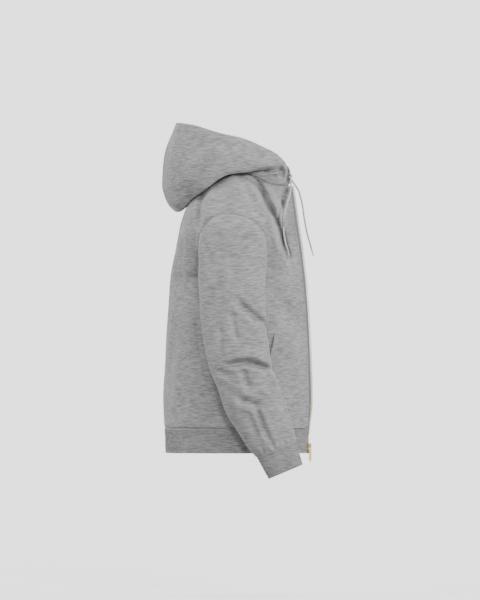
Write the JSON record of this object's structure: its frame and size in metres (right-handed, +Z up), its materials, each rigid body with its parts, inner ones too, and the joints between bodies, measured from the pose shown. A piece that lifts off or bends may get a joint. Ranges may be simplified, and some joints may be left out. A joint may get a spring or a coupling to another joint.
{
  "type": "zip up hoodie",
  "caption": "Zip-up hooded sweatshirt, open front, hood down on the back, arms hanging, with patch pockets, ribbed waistband and cuffs, and drawcords.",
  "frame": {"origin": "in the middle of the neck, level with the top of the shoulders, where the wearer's shoulders hold the garment up", "axes": "+Z up, -Y to the front of the garment, +X to the wearer's left"},
  "size_m": [0.628, 0.367, 0.8512],
  "materials": {
    "heather_fleece": "matt heather-grey brushed fleece",
    "rib_knit": "matt heather-grey two-by-two rib",
    "zip_tape": "matt woven tape, grey",
    "zip_brass": "satin brass",
    "cord_cotton": "matt braided cotton cord, light grey"
  },
  "bodies": {
    "garment": {"front_left": "heather_fleece", "front_right": "heather_fleece", "back": "heather_fleece", "sleeve_left": "heather_fleece", "sleeve_right": "heather_fleece", "cuff_left": "rib_knit", "cuff_right": "rib_knit", "hood_left": "heather_fleece", "hood_right": "heather_fleece", "hem_band": "rib_knit", "pocket_left": "heather_fleece", "pocket_right": "heather_fleece", "zip_tape_left": "zip_tape", "zip_tape_right": "zip_tape", "zip_slider": "zip_brass", "zip_retainer_box": "zip_brass", "zip_pin": "zip_brass", "drawcord_right": "cord_cotton", "drawcord_left": "cord_cotton"},
    "pull_tab": {"zip_pull_tab": "zip_brass"}
  },
  "joints": [
    {"name": "pull_tab_swing", "type": "hinge", "parent": "garment", "child": "pull_tab", "pos_m": [-0.07692, -0.18488, -0.6847], "axis": [-0.7879, 0.6158, 0], "range_deg": [0, 120]}
  ]
}
